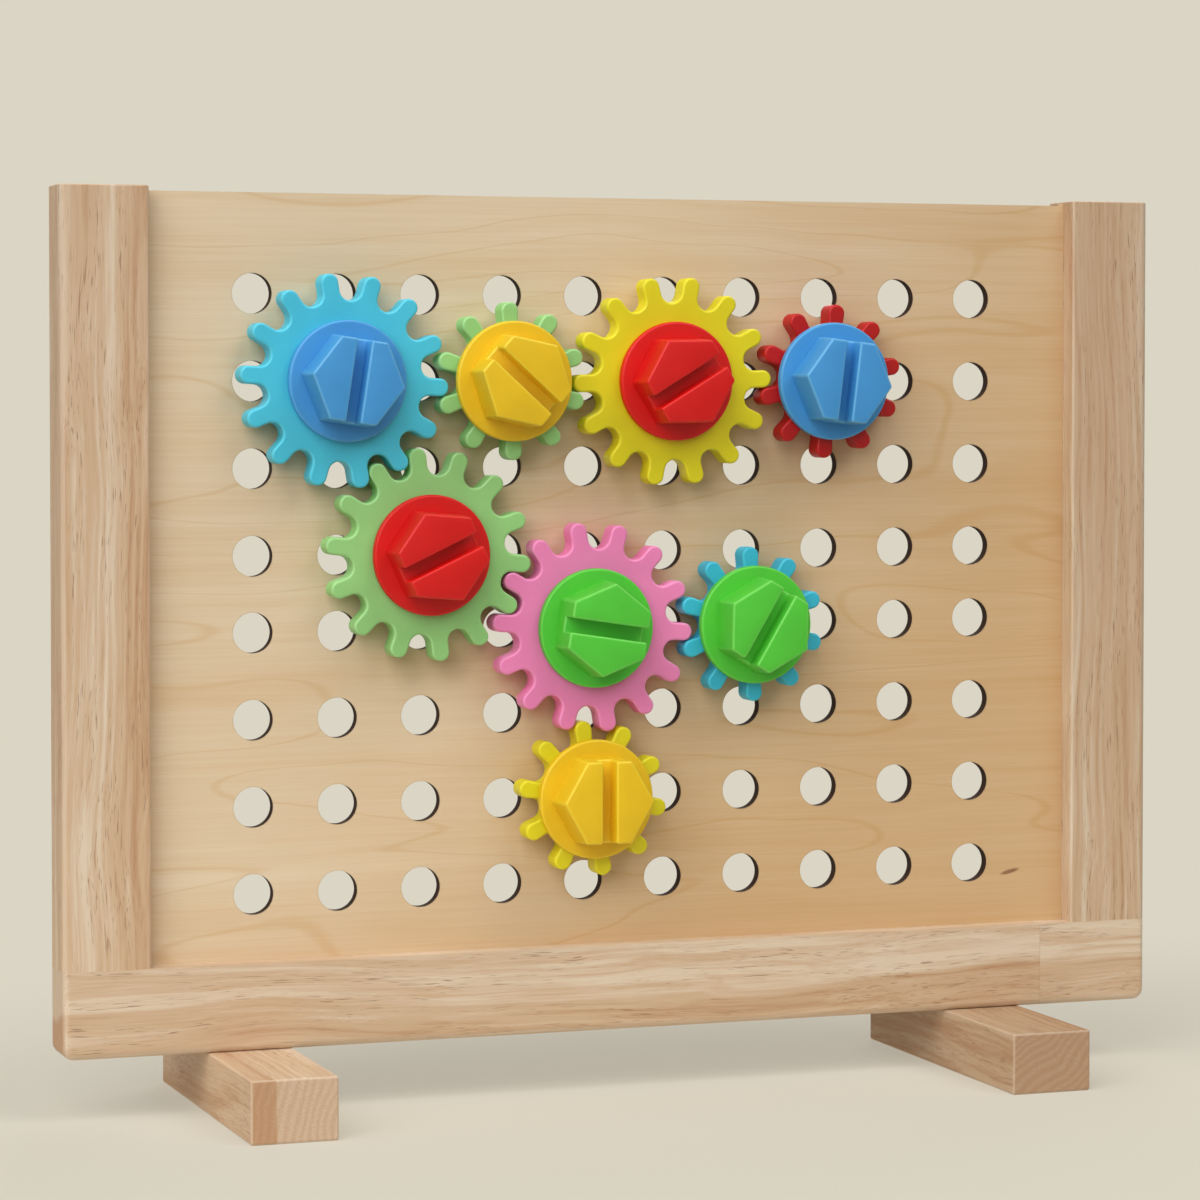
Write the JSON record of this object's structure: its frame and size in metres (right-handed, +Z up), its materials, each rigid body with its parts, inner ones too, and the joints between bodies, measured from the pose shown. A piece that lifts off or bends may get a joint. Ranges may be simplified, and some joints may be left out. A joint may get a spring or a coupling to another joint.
{
  "type": "gear peg board",
  "caption": "Framed wooden peg board on two feet, with meshed plastic gears that turn on slotted hexagonal bolts held by nuts behind the board.",
  "frame": {"origin": "on the floor, in the middle of the part's box", "axes": "+X to the right seen from the front, +Y from the front with the gears to the back with the nuts, +Z up"},
  "size_m": [0.406, 0.126, 0.3165],
  "materials": {
    "plywood": "sanded birch plywood with laser-cut holes",
    "pine": "sanded solid wood, clear sealer",
    "beech_dowel": "plain turned dowel",
    "zinc_steel": "zinc plated",
    "cyan_plastic": "moulded, semi-gloss",
    "light_green_plastic": "moulded, semi-gloss",
    "yellow_plastic": "moulded, semi-gloss",
    "red_plastic": "moulded, semi-gloss",
    "pink_plastic": "moulded, semi-gloss",
    "teal_plastic": "moulded, semi-gloss",
    "blue_bolt_plastic": "moulded, semi-gloss",
    "yellow_bolt_plastic": "moulded, semi-gloss",
    "red_bolt_plastic": "moulded, semi-gloss",
    "green_bolt_plastic": "moulded, semi-gloss"
  },
  "bodies": {
    "frame": {"peg_board": "plywood", "bottom_rail": "pine", "left_post": "pine", "right_post": "pine", "left_foot": "pine", "right_foot": "pine", "left_post_dowel": "beech_dowel", "right_post_dowel": "beech_dowel", "left_foot_inner_screw": "zinc_steel", "left_foot_outer_screw": "zinc_steel", "right_foot_inner_screw": "zinc_steel", "right_foot_outer_screw": "zinc_steel"},
    "large_blue_gear": {"large_blue_gear": "cyan_plastic"},
    "large_blue_gear_bolt": {"large_blue_gear_bolt": "blue_bolt_plastic"},
    "large_blue_gear_nut": {"large_blue_gear_nut": "blue_bolt_plastic"},
    "small_green_gear": {"small_green_gear": "light_green_plastic"},
    "small_green_gear_bolt": {"small_green_gear_bolt": "yellow_bolt_plastic"},
    "small_green_gear_nut": {"small_green_gear_nut": "yellow_bolt_plastic"},
    "large_yellow_gear": {"large_yellow_gear": "yellow_plastic"},
    "large_yellow_gear_bolt": {"large_yellow_gear_bolt": "red_bolt_plastic"},
    "large_yellow_gear_nut": {"large_yellow_gear_nut": "red_bolt_plastic"},
    "small_red_gear": {"small_red_gear": "red_plastic"},
    "small_red_gear_bolt": {"small_red_gear_bolt": "blue_bolt_plastic"},
    "small_red_gear_nut": {"small_red_gear_nut": "blue_bolt_plastic"},
    "large_green_gear": {"large_green_gear": "light_green_plastic"},
    "large_green_gear_bolt": {"large_green_gear_bolt": "red_bolt_plastic"},
    "large_green_gear_nut": {"large_green_gear_nut": "red_bolt_plastic"},
    "large_pink_gear": {"large_pink_gear": "pink_plastic"},
    "large_pink_gear_bolt": {"large_pink_gear_bolt": "green_bolt_plastic"},
    "large_pink_gear_nut": {"large_pink_gear_nut": "green_bolt_plastic"},
    "small_blue_gear": {"small_blue_gear": "teal_plastic"},
    "small_blue_gear_bolt": {"small_blue_gear_bolt": "green_bolt_plastic"},
    "small_blue_gear_nut": {"small_blue_gear_nut": "green_bolt_plastic"},
    "small_yellow_gear": {"small_yellow_gear": "yellow_plastic"},
    "small_yellow_gear_bolt": {"small_yellow_gear_bolt": "yellow_bolt_plastic"},
    "small_yellow_gear_nut": {"small_yellow_gear_nut": "yellow_bolt_plastic"}
  },
  "joints": [
    {"name": "large_blue_gear_spin", "type": "hinge", "parent": "frame", "child": "large_blue_gear", "pos_m": [-0.105, 0, 0.25053], "axis": [0, -1, 0], "continuous": true},
    {"name": "large_blue_gear_nut_turn", "type": "hinge", "parent": "frame", "child": "large_blue_gear_nut", "pos_m": [-0.105, 0, 0.25053], "axis": [0, 1, 0], "range_deg": [0, 1080]},
    {"name": "large_blue_gear_bolt_draw", "type": "slide", "parent": "frame", "child": "large_blue_gear_bolt", "axis": [0, -1, 0], "range_m": [0, 0.012]},
    {"name": "small_green_gear_spin", "type": "hinge", "parent": "frame", "child": "small_green_gear", "pos_m": [-0.045, 0, 0.25053], "axis": [0, -1, 0], "continuous": true},
    {"name": "small_green_gear_nut_turn", "type": "hinge", "parent": "frame", "child": "small_green_gear_nut", "pos_m": [-0.045, 0, 0.25053], "axis": [0, 1, 0], "range_deg": [0, 1080]},
    {"name": "small_green_gear_bolt_draw", "type": "slide", "parent": "frame", "child": "small_green_gear_bolt", "axis": [0, -1, 0], "range_m": [0, 0.012]},
    {"name": "large_yellow_gear_spin", "type": "hinge", "parent": "frame", "child": "large_yellow_gear", "pos_m": [0.015, 0, 0.25053], "axis": [0, -1, 0], "continuous": true},
    {"name": "large_yellow_gear_nut_turn", "type": "hinge", "parent": "frame", "child": "large_yellow_gear_nut", "pos_m": [0.015, 0, 0.25053], "axis": [0, 1, 0], "range_deg": [0, 1080]},
    {"name": "large_yellow_gear_bolt_draw", "type": "slide", "parent": "frame", "child": "large_yellow_gear_bolt", "axis": [0, -1, 0], "range_m": [0, 0.012]},
    {"name": "small_red_gear_spin", "type": "hinge", "parent": "frame", "child": "small_red_gear", "pos_m": [0.075, 0, 0.25053], "axis": [0, -1, 0], "continuous": true},
    {"name": "small_red_gear_nut_turn", "type": "hinge", "parent": "frame", "child": "small_red_gear_nut", "pos_m": [0.075, 0, 0.25053], "axis": [0, 1, 0], "range_deg": [0, 1080]},
    {"name": "small_red_gear_bolt_draw", "type": "slide", "parent": "frame", "child": "small_red_gear_bolt", "axis": [0, -1, 0], "range_m": [0, 0.012]},
    {"name": "large_green_gear_spin", "type": "hinge", "parent": "frame", "child": "large_green_gear", "pos_m": [-0.075, 0, 0.19053], "axis": [0, -1, 0], "continuous": true},
    {"name": "large_green_gear_nut_turn", "type": "hinge", "parent": "frame", "child": "large_green_gear_nut", "pos_m": [-0.075, 0, 0.19053], "axis": [0, 1, 0], "range_deg": [0, 1080]},
    {"name": "large_green_gear_bolt_draw", "type": "slide", "parent": "frame", "child": "large_green_gear_bolt", "axis": [0, -1, 0], "range_m": [0, 0.012]},
    {"name": "large_pink_gear_spin", "type": "hinge", "parent": "frame", "child": "large_pink_gear", "pos_m": [-0.015, 0, 0.1642], "axis": [0, -1, 0], "continuous": true},
    {"name": "large_pink_gear_nut_turn", "type": "hinge", "parent": "frame", "child": "large_pink_gear_nut", "pos_m": [-0.015, 0, 0.1642], "axis": [0, 1, 0], "range_deg": [0, 1080]},
    {"name": "large_pink_gear_bolt_draw", "type": "slide", "parent": "frame", "child": "large_pink_gear_bolt", "axis": [0, -1, 0], "range_m": [0, 0.012]},
    {"name": "small_blue_gear_spin", "type": "hinge", "parent": "frame", "child": "small_blue_gear", "pos_m": [0.045, 0, 0.1642], "axis": [0, -1, 0], "continuous": true},
    {"name": "small_blue_gear_nut_turn", "type": "hinge", "parent": "frame", "child": "small_blue_gear_nut", "pos_m": [0.045, 0, 0.1642], "axis": [0, 1, 0], "range_deg": [0, 1080]},
    {"name": "small_blue_gear_bolt_draw", "type": "slide", "parent": "frame", "child": "small_blue_gear_bolt", "axis": [0, -1, 0], "range_m": [0, 0.012]},
    {"name": "small_yellow_gear_spin", "type": "hinge", "parent": "frame", "child": "small_yellow_gear", "pos_m": [-0.015, 0, 0.1042], "axis": [0, -1, 0], "continuous": true},
    {"name": "small_yellow_gear_nut_turn", "type": "hinge", "parent": "frame", "child": "small_yellow_gear_nut", "pos_m": [-0.015, 0, 0.1042], "axis": [0, 1, 0], "range_deg": [0, 1080]},
    {"name": "small_yellow_gear_bolt_draw", "type": "slide", "parent": "frame", "child": "small_yellow_gear_bolt", "axis": [0, -1, 0], "range_m": [0, 0.012]}
  ],
  "couplings": [
    {"joint": "large_blue_gear_bolt_draw", "follows": "large_blue_gear_nut_turn", "m_per_rad": 0.00063662},
    {"joint": "small_green_gear_bolt_draw", "follows": "small_green_gear_nut_turn", "m_per_rad": 0.00063662},
    {"joint": "large_yellow_gear_bolt_draw", "follows": "large_yellow_gear_nut_turn", "m_per_rad": 0.00063662},
    {"joint": "small_red_gear_bolt_draw", "follows": "small_red_gear_nut_turn", "m_per_rad": 0.00063662},
    {"joint": "large_green_gear_bolt_draw", "follows": "large_green_gear_nut_turn", "m_per_rad": 0.00063662},
    {"joint": "large_pink_gear_bolt_draw", "follows": "large_pink_gear_nut_turn", "m_per_rad": 0.00063662},
    {"joint": "small_blue_gear_bolt_draw", "follows": "small_blue_gear_nut_turn", "m_per_rad": 0.00063662},
    {"joint": "small_yellow_gear_bolt_draw", "follows": "small_yellow_gear_nut_turn", "m_per_rad": 0.00063662},
    {"joint": "small_green_gear_spin", "follows": "large_blue_gear_spin", "ratio": -1.4},
    {"joint": "large_yellow_gear_spin", "follows": "large_blue_gear_spin", "ratio": 1},
    {"joint": "small_red_gear_spin", "follows": "large_blue_gear_spin", "ratio": -1.4},
    {"joint": "large_green_gear_spin", "follows": "large_blue_gear_spin", "ratio": -1},
    {"joint": "large_pink_gear_spin", "follows": "large_blue_gear_spin", "ratio": 1},
    {"joint": "small_blue_gear_spin", "follows": "large_blue_gear_spin", "ratio": -1.4},
    {"joint": "small_yellow_gear_spin", "follows": "large_blue_gear_spin", "ratio": -1.4}
  ]
}
